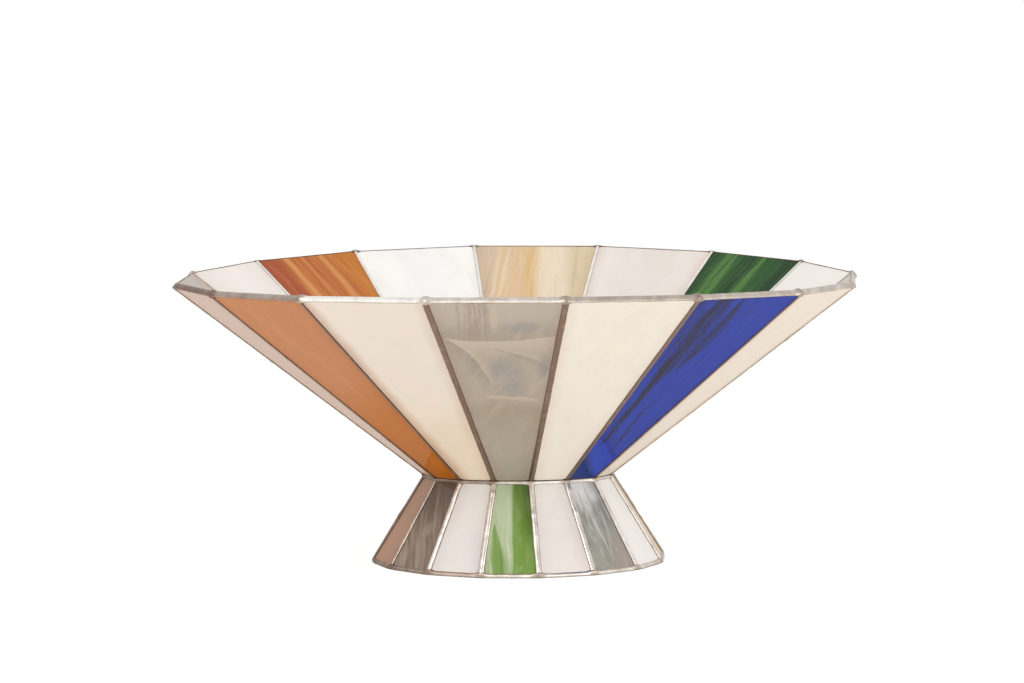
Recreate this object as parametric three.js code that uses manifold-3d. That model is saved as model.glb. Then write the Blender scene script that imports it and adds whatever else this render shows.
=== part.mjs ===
// Stained-glass pedestal bowl in millimetres, +Z up, with its origin on the resting surface under
// the middle of the foot. Sixteen flat panes flare up from a narrow waist to a wide rim, sixteen
// short panes flare down to the foot, and one flat pane closes the bowl's floor. Solder holds the
// foil-wrapped edges: a bar along every seam, and a ring each at the rim, the waist and the foot.
//
// The corners lie on the panes' outer faces. All bowl seams run through one point on the axis, so
// every pane stays flat although the hand-built rim is slightly saddle-shaped, and the foot seams
// meet in a second point for the same reason.

import * as THREE from 'three';
import { mergeVertices } from 'three/addons/utils/BufferGeometryUtils.js';
import Module from 'manifold-3d';

const wasm = await Module();
wasm.setup();

// ---- driving dimensions ----

const SIDES = 16;
const FIRST_SEAM_DEG = -14.8; // turn of seam 1 from straight front (-Y) towards +X
const RIM_RADIUS = 178.9; // to the corners, like the next two
const WAIST_RADIUS = 49;
const FOOT_RADIUS = 77.6;
const BOWL_HEIGHT = 102.5; // waist to rim
const FOOT_HEIGHT = 45.8; // resting surface to waist
const RIM_WARP_DEG = 0.67; // the seams lean out more at the sides, and less at front and back

const GLASS = 3; // thickness of every pane
const GAP = 0.3; // clearance of solder to glass, where the real one has its copper foil
const SEAM_INSET = 1.1; // glass edge to the seam line, on the outer face
const RIM_INSET = 0.9; // the same for the edges along the rim, waist and foot
const WAIST_INSET = 1.1;
const FOOT_INSET = 2.9;
const FLOOR_INSET = 2.6; // floor edge to the waist polygon
const FLOOR_RISE = 1.2; // middle of the floor pane above the waist line, so its top clears the solder

const SEAM_WIDTH = 5; // oval section of a seam bar, around the middle of the glass
const SEAM_DEPTH = 5.4;
const SEAM_SECTION_SIDES = 12;
const SEAM_CLEAR_OF_WAIST = 3.2; // seam bar's ends to the corners
const SEAM_CLEAR_OF_RIM = 3;
const BEAD_SECTION_SIDES = 8;
const RIM_LEGS = 2.4; // the rim bead's sides reach this far down over the glass
const RIM_CROWN = 0.8; // and its crown this far above the rim line
const RIM_HALF_WIDTH = 2.25;
const RIM_BLOB_RADIUS = 3;
const WAIST_BEAD_RADIUS = 2.9;
const WAIST_BEAD_IN = 1.4; // middle of the waist bead, inside the waist line
const FOOT_BEAD_OUTLINE = [ // out from and up from the foot line, anticlockwise
  [-4.6, 0],
  [0.1, 0],
  [0.6, 0.7],
  [0.5, 1.6],
  [-1.4, 3.7],
  [-5.2, 1.4],
  [-5.2, 0.5],
];

const TURN = (2 * Math.PI) / SIDES;
const FIRST_SEAM = THREE.MathUtils.degToRad(FIRST_SEAM_DEG);
const RIM_WARP = THREE.MathUtils.degToRad(RIM_WARP_DEG);
const LEAN = Math.atan2(RIM_RADIUS - WAIST_RADIUS, BOWL_HEIGHT); // bowl seam from upright
const RIM_REACH = RIM_RADIUS / Math.sin(LEAN); // bowl apex to a rim corner
const WAIST_REACH = WAIST_RADIUS / Math.sin(LEAN);
const BOWL_APEX = new THREE.Vector3(0, 0, FOOT_HEIGHT - WAIST_REACH * Math.cos(LEAN));
const FOOT_SPREAD = (FOOT_RADIUS - WAIST_RADIUS) / FOOT_HEIGHT;
const FOOT_APEX = new THREE.Vector3(0, 0, FOOT_HEIGHT + WAIST_RADIUS / FOOT_SPREAD);
const UP = new THREE.Vector3(0, 0, 1);

// ---- colours: pane 1 faces the front, and the numbers run towards +X ----

const COLOURS = {
  cream: 0xeee0d0,
  taupe: 0xb5a898,
  cobalt: 0x2b3f9c,
  green: 0x3c6a34,
  beige: 0xd9b684,
  rust: 0xb4713a,
  orange: 0xc88346,
  smoke: 0x8a8178,
  pewter: 0xa59d94,
};
const BOWL_COLOURS = [
  'taupe', 'cream', 'cobalt', 'cream', 'smoke', 'cream', 'green', 'cream',
  'beige', 'cream', 'rust', 'cream', 'taupe', 'cream', 'orange', 'cream',
];
const FOOT_COLOURS = [
  'green', 'cream', 'smoke', 'cream', 'beige', 'cream', 'green', 'cream',
  'smoke', 'cream', 'beige', 'cream', 'green', 'taupe', 'smoke', 'cream',
];

function glass(colour) {
  return new THREE.MeshStandardMaterial({ color: COLOURS[colour], roughness: 0.12, metalness: 0 });
}

function solder() {
  return new THREE.MeshStandardMaterial({ color: COLOURS.pewter, roughness: 0.35, metalness: 0.9 });
}

// ---- corners; seams and panes are numbered from 1, and pane n lies between seams n and n + 1 ----

const NUMBERS = Array.from({ length: SIDES }, (_, i) => i + 1);

function seamTurn(seam) {
  return FIRST_SEAM + (seam - 1) * TURN;
}

// The lean changes with a period of half a turn, and the heading follows it, so that the rim's
// sides stay equally long.
function bowlSeamDirection(seam) {
  const wave = 2 * (seamTurn(seam) - Math.PI / 2);
  const lean = LEAN + RIM_WARP * Math.cos(wave);
  const heading = seamTurn(seam) - (RIM_WARP / (2 * Math.tan(LEAN))) * Math.sin(wave);
  return new THREE.Vector3(
    Math.sin(lean) * Math.sin(heading),
    -Math.sin(lean) * Math.cos(heading),
    Math.cos(lean),
  );
}

function rimCorner(seam) {
  return bowlSeamDirection(seam).multiplyScalar(RIM_REACH).add(BOWL_APEX);
}

function waistCorner(seam) {
  return bowlSeamDirection(seam).multiplyScalar(WAIST_REACH).add(BOWL_APEX);
}

function footCorner(seam) {
  const waist = waistCorner(seam);
  const stretch = FOOT_APEX.z / (FOOT_APEX.z - waist.z);
  return waist.sub(FOOT_APEX).multiplyScalar(stretch).add(FOOT_APEX);
}

// ---- solids and booleans ----

function toSolid(geometry) {
  const bare = geometry.clone();
  bare.deleteAttribute('normal');
  bare.deleteAttribute('uv');
  const merged = mergeVertices(bare);
  const mesh = new wasm.Mesh({
    numProp: 3,
    vertProperties: new Float32Array(merged.attributes.position.array),
    triVerts: new Uint32Array(merged.index.array),
  });
  return new wasm.Manifold(mesh);
}

function toGeometry(solid) {
  const mesh = solid.getMesh();
  const geometry = new THREE.BufferGeometry();
  geometry.setAttribute('position', new THREE.BufferAttribute(mesh.vertProperties, 3));
  geometry.setIndex(new THREE.BufferAttribute(mesh.triVerts, 1));
  geometry.computeVertexNormals();
  return geometry;
}

function join(solids) {
  return solids.reduce((whole, solid) => whole.add(solid));
}

function cut(solid, clearances) {
  return clearances.reduce((rest, clearance) => rest.subtract(clearance), solid);
}

function extrude(outline, depth) {
  return new THREE.ExtrudeGeometry(new THREE.Shape(outline), { depth, bevelEnabled: false });
}

function ovalPoint(angle, halfWidth, halfHeight) {
  return new THREE.Vector2(halfWidth * Math.cos(angle), halfHeight * Math.sin(angle));
}

function ovalOutline(halfWidth, halfHeight, sides) {
  return Array.from({ length: sides }, (_, i) =>
    ovalPoint((2 * Math.PI * (i + 0.5)) / sides, halfWidth, halfHeight),
  );
}

// ---- panes ----

// The outline's four corners as seen from outside, from low left anticlockwise, with the inset of
// the edge that follows each corner.
function bowlPane(number) {
  return {
    corners: [
      waistCorner(number),
      waistCorner(number + 1),
      rimCorner(number + 1),
      rimCorner(number),
    ],
    insets: [WAIST_INSET, SEAM_INSET, RIM_INSET, SEAM_INSET],
  };
}

function footPane(number) {
  return {
    corners: [
      footCorner(number),
      footCorner(number + 1),
      waistCorner(number + 1),
      waistCorner(number),
    ],
    insets: [FOOT_INSET, SEAM_INSET, WAIST_INSET, SEAM_INSET],
  };
}

function paneFrame({ corners: [lowLeft, lowRight, , topLeft] }) {
  const across = lowRight.clone().sub(lowLeft).normalize();
  const outward = across.clone().cross(topLeft.clone().sub(lowLeft)).normalize();
  const up = outward.clone().cross(across);
  return { across, up, outward };
}

// Moves every edge of a convex anticlockwise outline inwards by its own inset.
function insetOutline(outline, insets) {
  const edges = outline.map((start, i) => {
    const along = outline[(i + 1) % outline.length].clone().sub(start).normalize();
    const inward = new THREE.Vector2(-along.y, along.x);
    return { point: start.clone().addScaledVector(inward, insets[i]), along };
  });
  return edges.map((edge, i) => {
    const before = edges[(i + edges.length - 1) % edges.length];
    const reach = edge.point.clone().sub(before.point).cross(edge.along);
    const steps = reach / before.along.cross(edge.along);
    return before.point.clone().addScaledVector(before.along, steps);
  });
}

// Glass behind its outer face. A positive grow moves every face out by that much, which gives the
// room that the solder leaves around the glass.
function paneGeometry(pane, grow = 0) {
  const { across, up, outward } = paneFrame(pane);
  const origin = pane.corners[0];
  const flat = pane.corners.map((corner) => {
    const offset = corner.clone().sub(origin);
    return new THREE.Vector2(offset.dot(across), offset.dot(up));
  });
  const outline = insetOutline(flat, pane.insets.map((inset) => inset - grow));
  const placed = new THREE.Matrix4().makeBasis(across, up, outward).setPosition(origin);
  return extrude(outline, GLASS + 2 * grow)
    .translate(0, 0, -GLASS - grow)
    .applyMatrix4(placed);
}

function floorGeometry(grow = 0) {
  const corners = NUMBERS.map((seam) => waistCorner(seam));
  const flat = corners.map(({ x, y }) => new THREE.Vector2(x, y));
  const outline = insetOutline(flat, NUMBERS.map(() => FLOOR_INSET - grow));
  const bottom = FOOT_HEIGHT + FLOOR_RISE - GLASS / 2 - grow;
  return extrude(outline, GLASS + 2 * grow).translate(0, 0, bottom);
}

// ---- solder ----

// The vector that moves a corner so that both of its neighbouring faces move out by one.
function mitre(normalBefore, normalAfter) {
  const sum = normalBefore.clone().add(normalAfter);
  return sum.divideScalar(1 + normalBefore.dot(normalAfter));
}

// An oval bar from one corner of a seam to the other, less the clear length at each end.
function seamBar(seam, pane, from, to, clearFrom, clearTo) {
  const along = to(seam).sub(from(seam)).normalize();
  const length = from(seam).distanceTo(to(seam)) - clearFrom - clearTo;
  const faces = mitre(paneFrame(pane(seam - 1)).outward, paneFrame(pane(seam)).outward);
  const outward = faces.normalize();
  const sideways = outward.clone().cross(along);
  const start = from(seam).addScaledVector(along, clearFrom).addScaledVector(outward, -GLASS / 2);
  const placed = new THREE.Matrix4().makeBasis(sideways, outward, along).setPosition(start);
  const outline = ovalOutline(SEAM_WIDTH / 2, SEAM_DEPTH / 2, SEAM_SECTION_SIDES);
  return toSolid(extrude(outline, length).applyMatrix4(placed));
}

// A ring with flat sides: a lathe with one station per seam, each moved onto its corner. The
// profile runs anticlockwise in (out, up), and side(n) gives both directions for side n.
function ring(profile, corner, side) {
  const closed = [...profile, profile[0]];
  const geometry = new THREE.LatheGeometry(closed, SIDES);
  const position = geometry.attributes.position;
  for (let vertex = 0; vertex < position.count; vertex += 1) {
    const seam = 1 + (Math.floor(vertex / closed.length) % SIDES);
    const { x, y } = closed[vertex % closed.length];
    const [before, after] = [side(seam - 1), side(seam)];
    const point = corner(seam)
      .addScaledVector(mitre(before.out, after.out), x)
      .addScaledVector(mitre(before.up, after.up), y);
    position.setXYZ(vertex, point.x, point.y, point.z);
  }
  return toSolid(geometry);
}

function slopingSide(number) {
  const { outward, up } = paneFrame(bowlPane(number));
  return { out: outward, up };
}

function levelSide(number) {
  const edge = waistCorner(number + 1).sub(waistCorner(number));
  const out = edge.cross(UP).normalize();
  return { out, up: UP };
}

function rimBlob(seam) {
  const { out } = slopingSide(seam);
  const middle = rimCorner(seam).addScaledVector(out, -GLASS / 2);
  const sides = BEAD_SECTION_SIDES;
  const geometry = new THREE.SphereGeometry(RIM_BLOB_RADIUS, sides, sides / 2);
  return toSolid(geometry.translate(...middle.toArray()));
}

// Half an oval over two straight legs, with its middle on the middle of the glass.
function rimProfile() {
  const arc = Array.from({ length: BEAD_SECTION_SIDES / 2 + 1 }, (_, i) =>
    ovalPoint((2 * Math.PI * i) / BEAD_SECTION_SIDES, RIM_HALF_WIDTH, RIM_CROWN + RIM_INSET),
  ).map((point) => point.add(new THREE.Vector2(-GLASS / 2, -RIM_INSET)));
  const left = new THREE.Vector2(-GLASS / 2 - RIM_HALF_WIDTH, -RIM_LEGS);
  const right = new THREE.Vector2(-GLASS / 2 + RIM_HALF_WIDTH, -RIM_LEGS);
  return [right, ...arc, left];
}

function waistProfile() {
  const middle = new THREE.Vector2(-WAIST_BEAD_IN, 0);
  const outline = ovalOutline(WAIST_BEAD_RADIUS, WAIST_BEAD_RADIUS, BEAD_SECTION_SIDES);
  return outline.map((point) => point.add(middle));
}

function footProfile() {
  return FOOT_BEAD_OUTLINE.map(([out, up]) => new THREE.Vector2(out, up));
}

function belowGround() {
  const size = 3 * FOOT_RADIUS;
  return toSolid(new THREE.BoxGeometry(size, size, size).translate(0, 0, -size / 2));
}

// ---- assembly ----

const bowlRooms = NUMBERS.map((number) => toSolid(paneGeometry(bowlPane(number), GAP)));
const footRooms = NUMBERS.map((number) => toSolid(paneGeometry(footPane(number), GAP)));
const floorRoom = toSolid(floorGeometry(GAP));

function neighbours(rooms, seam) {
  return [rooms[(seam + SIDES - 2) % SIDES], rooms[seam - 1]];
}

function bowlSeam(seam) {
  const bar = seamBar(
    seam, bowlPane, waistCorner, rimCorner, SEAM_CLEAR_OF_WAIST, SEAM_CLEAR_OF_RIM,
  );
  return cut(bar, neighbours(bowlRooms, seam));
}

function rimBead() {
  const bead = ring(rimProfile(), rimCorner, slopingSide);
  return cut(join([bead, ...NUMBERS.map(rimBlob)]), bowlRooms);
}

function waistBead() {
  const bead = ring(waistProfile(), waistCorner, levelSide);
  return cut(bead, [...bowlRooms, ...footRooms, floorRoom]);
}

// The foot's seams and its bottom bead are one casting.
function footLattice() {
  const bead = ring(footProfile(), footCorner, levelSide);
  const bars = NUMBERS.map((seam) =>
    seamBar(seam, footPane, waistCorner, footCorner, SEAM_CLEAR_OF_WAIST, 0),
  );
  return cut(join([bead, ...bars]), [...footRooms, belowGround()]);
}

function named(name, geometry, material) {
  const mesh = new THREE.Mesh(geometry, material);
  mesh.name = name;
  return mesh;
}

function numbered(name, number) {
  return `${name}_${String(number).padStart(2, '0')}`;
}

const bowl = new THREE.Group();
NUMBERS.forEach((number) => {
  const geometry = paneGeometry(bowlPane(number));
  bowl.add(named(numbered('bowl_pane', number), geometry, glass(BOWL_COLOURS[number - 1])));
  bowl.add(named(numbered('bowl_seam', number), toGeometry(bowlSeam(number)), solder()));
});
bowl.add(named('floor_pane', floorGeometry(), glass('cream')));
bowl.add(named('rim_bead', toGeometry(rimBead()), solder()));
bowl.add(named('waist_bead', toGeometry(waistBead()), solder()));

const foot = new THREE.Group();
NUMBERS.forEach((number) => {
  const geometry = paneGeometry(footPane(number));
  foot.add(named(numbered('foot_pane', number), geometry, glass(FOOT_COLOURS[number - 1])));
});
foot.add(named('foot_lattice', toGeometry(footLattice()), solder()));

const pedestalBowl = new THREE.Group();
pedestalBowl.add(bowl, foot);

export default pedestalBowl;
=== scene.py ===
# Looks of the stained-glass pedestal bowl: streaky opalescent panes with a faint roll to their
# faces, and lumpy solder beads over every seam, the rim, the waist and the foot.
#
# Everything is worked out from the CAD panes. Each pane gets a piece in a frame of its own, with x
# across, y up the slope and z outwards, and the solder follows the lines where the panes' outer
# faces meet. Panes and seams are numbered as in CAD: pane n lies between seams n and n + 1, pane 1
# faces the front, and the numbers run towards +X. Sizes here are in millimetres unless they say
# otherwise, and MM turns them into the scene's metres.

import math
import random

import bpy
import numpy as np
from mathutils import Matrix, Vector, noise


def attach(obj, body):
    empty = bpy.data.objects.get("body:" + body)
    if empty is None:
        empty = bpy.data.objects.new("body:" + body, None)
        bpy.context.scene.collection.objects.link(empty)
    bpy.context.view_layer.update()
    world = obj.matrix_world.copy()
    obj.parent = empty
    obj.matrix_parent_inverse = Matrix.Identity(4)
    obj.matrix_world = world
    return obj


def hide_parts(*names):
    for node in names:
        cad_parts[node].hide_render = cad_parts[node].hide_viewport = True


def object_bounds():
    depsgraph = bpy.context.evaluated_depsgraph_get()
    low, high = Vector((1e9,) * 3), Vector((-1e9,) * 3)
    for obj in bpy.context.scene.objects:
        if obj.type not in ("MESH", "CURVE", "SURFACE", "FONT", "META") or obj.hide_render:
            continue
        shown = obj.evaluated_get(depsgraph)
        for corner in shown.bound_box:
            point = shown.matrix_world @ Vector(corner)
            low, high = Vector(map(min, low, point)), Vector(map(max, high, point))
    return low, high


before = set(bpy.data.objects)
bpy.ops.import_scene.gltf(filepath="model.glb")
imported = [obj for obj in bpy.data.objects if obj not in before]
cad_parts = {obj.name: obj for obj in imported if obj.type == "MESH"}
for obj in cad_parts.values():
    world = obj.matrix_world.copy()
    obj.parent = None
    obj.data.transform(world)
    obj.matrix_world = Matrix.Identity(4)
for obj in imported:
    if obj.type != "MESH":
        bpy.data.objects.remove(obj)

CAD_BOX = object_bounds()
MM = 0.001
SIDES = 16
NUMBERS = range(1, SIDES + 1)

# ---- driving sizes ----

RIM_INSET = 0.9  # glass edge to the rim line, as in CAD
WAIST_INSET = 1.1
SEAM_INSET = 1.1
PANE_CELL = 5.0  # grid of a pane's faces
ROLL_HEIGHT = 0.05  # how far the rolled faces wander from flat
ROLL_LENGTH = 34.0

SEAM_STEP = 1.0  # stations along a bead
RING_STEP = 1.2
SIDE_BLEND = 5.0  # from a corner to where a ring's side has its own size and tone
CORNER_GAP = 1.1  # first station beside a ring's corner
ARC_STEPS = 8  # across a bead
FOIL = 0.03  # the bead's edge stands this far off the glass
CREASE_SOFT = 0.5  # rounding of the crease between two panes under a seam's outer bead
LUMP_WIDTH = 0.1  # what a lump adds to the half width and to the crown of a bead
LUMP_CROWN = 0.22
BOWL_SEAM = {"outer": 1.68, "crown": 0.42, "inner": 1.0, "inner_crown": 0.45}
FOOT_SEAM = {"outer": 1.55, "crown": 0.75, "inner": 1.3, "inner_crown": 0.5}
SLIM_SEAMS = {3: 0.84, 4: 0.7, 5: 0.7, 14: 0.72, 15: 0.66, 16: 0.46}  # bowl seams drawn thinner
SEAM_TAPER = 0.16  # how much of its width a bowl seam loses down to the waist
SEAM_CLEAR = 0.6  # a seam's bead stops this short of the lines it runs to
GROUND_CLEAR = 3.05  # the same at the ground, so that its inner side stays above it
FOOT_REACH = 0.7  # how far the foot panes reach down past those of the CAD, into the ring
RIM_WALL = 0.16  # solder beside the glass at the rim
RIM_TOP = 0.36  # solder above the glass edge
RIM_LAP = 0.5  # and how far it comes down over both faces
RIM_LINE = 0.65  # share of the lap that is the dark line along its lower edge
RIM_GIRTH = {13: 1.5, 14: 1.5, 15: 1.5, 16: 1.25, 3: 1.15, 4: 1.3}  # sides thicker than the rest
BLOB_LENGTH = 2.7  # half of a rim corner's blob, along the rim
SMALL_BLOBS = {5: 0.5, 14: 0.1, 10: 0.5, 12: 0.6, 9: 0.6, 8: 0.6}  # the others are whole
WAIST_BLOB_LENGTH = 2.0
FOOT_BLOB_LENGTH = 3.2
GLASS_SHARP = 50  # degrees, where a pane's or a bead's shading breaks at an edge
SOLDER_SHARP = 62
FLOOR_RINGS = 8  # of faces, from the floor pane's middle to its edge

# Painted shade of the beads: 0 bright, 1 brown. The brown stands in for shade and for the warm table
# mirrored in the solder, so it is given seam by seam and side by side.
BOWL_SEAM_PAINTED_SHADE = (1.0, 0.0)  # outer and inner side
# Bowl seams along the outline get less painted shade on their outer side.
BRIGHT_BOWL_SEAMS = {5: 0.1, 14: 0.3}  # the outer side of those along the bowl's outline
FOOT_SEAM_PAINTED_SHADE = (0.2, 0.5)
# Foot seams beside the bowl's left end get more painted shade.
SHADED_FOOT_SEAMS = {14: 0.9, 15: 0.7}  # the ones beside the bowl's left end
# The rim, waist and foot sides carry painted shade too, most on the left, away from the light.
RIM_USUAL = 0.3  # for sides not given below
WAIST_USUAL = FOOT_USUAL = 0.4
RIM_PAINTED_SHADE = {14: 1.0, 15: 0.65, 16: 0.0, 1: 0.3, 2: 0.55, 3: 0.4, 4: 0.35, 5: 0.35}
WAIST_PAINTED_SHADE = {14: 0.9, 15: 0.9, 16: 0.7, 1: 0.25, 2: 0.2, 3: 0.2, 4: 0.2}
FOOT_PAINTED_SHADE = {13: 0.9, 14: 0.9, 15: 0.75, 16: 0.4, 1: 0.25, 2: 0.2, 3: 0.2, 4: 0.25}


# ---- panes, measured from CAD ----


class Pane:
    """A flat pane's frame and outline, in metres. The outline is its outer face's corners."""

    def __init__(self, node):
        self.node = node
        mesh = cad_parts[node].data
        rounded = {tuple(round(value, 6) for value in vertex.co) for vertex in mesh.vertices}
        points = [Vector(point) for point in sorted(rounded)]
        centre = sum(points, Vector()) / len(points)
        widest = max(mesh.polygons, key=lambda face: face.area)
        radial = Vector((centre.x, centre.y, 0))
        hint = radial if radial.length > 10 * MM else Vector((0, 0, 1))
        self.outward = widest.normal.copy()
        if self.outward.dot(hint) < 0:
            self.outward.negate()
        heights = [point.dot(self.outward) for point in points]
        self.thickness = max(heights) - min(heights)
        face = [p for p, height in zip(points, heights) if max(heights) - height < 0.1 * MM]
        side = Vector((0, 0, 1)) if hint is radial else Vector((0, 1, 0))
        self.across = side.cross(self.outward).normalized()
        if len(face) == 4:
            self.across = self._low_edge(face)
        self.up = self.outward.cross(self.across)
        middle = sum(face, Vector()) / len(face)
        flat = [((p - middle).dot(self.across), (p - middle).dot(self.up)) for p in face]
        flat.sort(key=lambda point: math.atan2(point[1], point[0]))
        first = min(range(len(flat)), key=lambda i: flat[i][0] + flat[i][1])
        flat = flat[first:] + flat[:first]
        low = min(y for _, y in flat)
        if len(face) == 4:
            middle = middle + self.up * low
            flat = [(x, y - low) for x, y in flat]
        self.origin = middle
        self.outline = flat

    def _low_edge(self, face):
        low = sorted(face, key=lambda point: point.z)[:2]
        edge = (low[1] - low[0]).normalized()
        return edge if edge.dot(self.across) > 0 else -edge

    @property
    def height(self):
        return max(y for _, y in self.outline)

    @property
    def low_half_width(self):
        return (self.outline[1][0] - self.outline[0][0]) / 2

    @property
    def top_half_width(self):
        return (self.outline[2][0] - self.outline[3][0]) / 2

    def reach_down(self, distance):
        """Moves the low edge down, between the same slanted sides."""
        (left, _), (right, _), (top_right, high), (top_left, _) = self.outline
        share = distance / high
        self.origin = self.origin - self.up * distance
        self.outline = [
            (left + (left - top_left) * share, 0.0),
            (right + (right - top_right) * share, 0.0),
            (top_right, high + distance),
            (top_left, high + distance),
        ]

    def matrix(self):
        placed = Matrix((self.across, self.up, self.outward)).transposed().to_4x4()
        placed.translation = self.origin
        return placed


BOWL = {n: Pane(f"bowl_pane_{n:02d}") for n in NUMBERS}
FOOT = {n: Pane(f"foot_pane_{n:02d}") for n in NUMBERS}
FLOOR = Pane("floor_pane")
for foot_pane in FOOT.values():
    foot_pane.reach_down(FOOT_REACH * MM)


def around(number):
    """A pane's or seam's number, counted round from 1 to 16."""
    return (number - 1) % SIDES + 1


def seam_line(panes, seam):
    """A point and the upward direction of the line where two panes' outer faces meet."""
    before, after = panes[around(seam - 1)], panes[seam]
    along = before.outward.cross(after.outward).normalized()
    if along.z < 0:
        along.negate()
    rows = Matrix((before.outward, after.outward, along))
    reach = Vector((
        before.outward.dot(before.origin),
        after.outward.dot(after.origin),
        along.dot(after.origin),
    ))
    return rows.inverted() @ reach, along


def corner(panes, seam, height_of):
    """The seam's point whose height up the slope of its two panes is what height_of says."""
    point, along = seam_line(panes, seam)
    ends = []
    for pane in (panes[around(seam - 1)], panes[seam]):
        missing = height_of(pane) - (point - pane.origin).dot(pane.up)
        ends.append(point + along * missing / along.dot(pane.up))
    return (ends[0] + ends[1]) / 2


def ground_corner(seam):
    point, along = seam_line(FOOT, seam)
    return point - along * point.z / along.z


RIM_CORNERS = {n: corner(BOWL, n, lambda pane: pane.height + RIM_INSET * MM) for n in NUMBERS}
WAIST_CORNERS = {n: corner(BOWL, n, lambda pane: -WAIST_INSET * MM) for n in NUMBERS}
GROUND_CORNERS = {n: ground_corner(n) for n in NUMBERS}


# ---- meshes ----


def wander(place, length, seed):
    """Smooth noise along a line, from -1 to 1."""
    return noise.noise(Vector((place / length, seed * 7.31, seed * 1.7)))


def uneven(place, slow, quick, seed, length=12):
    """A size's slow swell and quick ripple along a bead."""
    return slow * wander(place, length, seed) + quick * wander(place, 3, seed + 1)


def new_piece(name, vertices, faces, material, matrix=None, sharp=GLASS_SHARP):
    mesh = bpy.data.meshes.new(name)
    mesh.from_pydata([tuple(v) for v in vertices], [], faces)
    mesh.update()
    for face in mesh.polygons:
        face.use_smooth = True
    mesh.set_sharp_from_angle(angle=math.radians(sharp))
    mesh.materials.append(material)
    piece = bpy.data.objects.new(name, mesh)
    bpy.context.scene.collection.objects.link(piece)
    if matrix is not None:
        piece.matrix_world = matrix
    return piece


def finish_piece(piece, nodes):
    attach(piece, "root")
    if nodes:
        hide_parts(*nodes)


def roll(x, y, seed):
    """Height of the rolled glass surface over flat."""
    at = Vector((x / (ROLL_LENGTH * MM), y / (1.7 * ROLL_LENGTH * MM), seed))
    return ROLL_HEIGHT * MM * noise.noise(at)


def slab(outline, columns, rows, thickness, seed):
    """A flat four-cornered slab with rolled faces: its vertices and faces."""
    low_left, low_right, top_right, top_left = [Vector(point) for point in outline]
    vertices = []
    for side, depth in ((0, 0.0), (1, -thickness)):
        for row in range(rows + 1):
            left = low_left.lerp(top_left, row / rows)
            right = low_right.lerp(top_right, row / rows)
            for column in range(columns + 1):
                point = left.lerp(right, column / columns)
                height = depth + roll(point.x, point.y, seed + 40.5 * side)
                vertices.append((point.x, point.y, height))
    width = columns + 1
    back = width * (rows + 1)
    faces = []
    for row in range(rows):
        for column in range(columns):
            a = row * width + column
            quad = (a, a + 1, a + width + 1, a + width)
            faces.append(quad)
            faces.append(tuple(back + i for i in reversed(quad)))
    border = list(range(columns))
    border += [row * width + columns for row in range(rows)]
    border += [rows * width + column for column in range(columns, 0, -1)]
    border += [row * width for row in range(rows, 0, -1)]
    for i, a in enumerate(border):
        b = border[(i + 1) % len(border)]
        faces.append((b, a, back + a, back + b))
    return vertices, faces


def sweep(name, rings, edges, tarnish, closed):
    """A tube through rings of points, each anticlockwise as seen from where the sweep goes.

    The solder's material reads two attributes: "crown", from edges, is how far a ring's point is
    from the bead's border, 0 on the glass and 1 on the crown; the other, given for every point of
    every ring, is painted shade and painted reflection, 0 on bright solder and 1 on brown."""
    count = len(rings[0])
    vertices = [point for ring in rings for point in ring]
    faces = []
    spans = len(rings) if closed else len(rings) - 1
    for i in range(spans):
        here, there = i * count, ((i + 1) % len(rings)) * count
        for j in range(count):
            k = (j + 1) % count
            faces.append((here + j, here + k, there + k, there + j))
    if not closed:
        faces.append(tuple(reversed(range(count))))
        last = (len(rings) - 1) * count
        faces.append(tuple(range(last, last + count)))
    piece = new_piece(name, vertices, faces, SOLDER, sharp=SOLDER_SHARP)
    for label, values in (("crown", [edges] * len(rings)), ("tarnish", tarnish)):
        layer = piece.data.attributes.new(label, "FLOAT", "POINT")
        layer.data.foreach_set("value", np.array(values, np.float32).ravel())
    return piece


def crown_curve(share):
    """A bead's height over its width, where share runs from -1 to 1."""
    return max(0.0, 1 - share * share) ** 0.6


def bead_arc():
    """Places across a bead from -1 to 1, closer together near its borders."""
    return [-math.cos(math.pi * i / ARC_STEPS) for i in range(ARC_STEPS + 1)]


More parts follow.
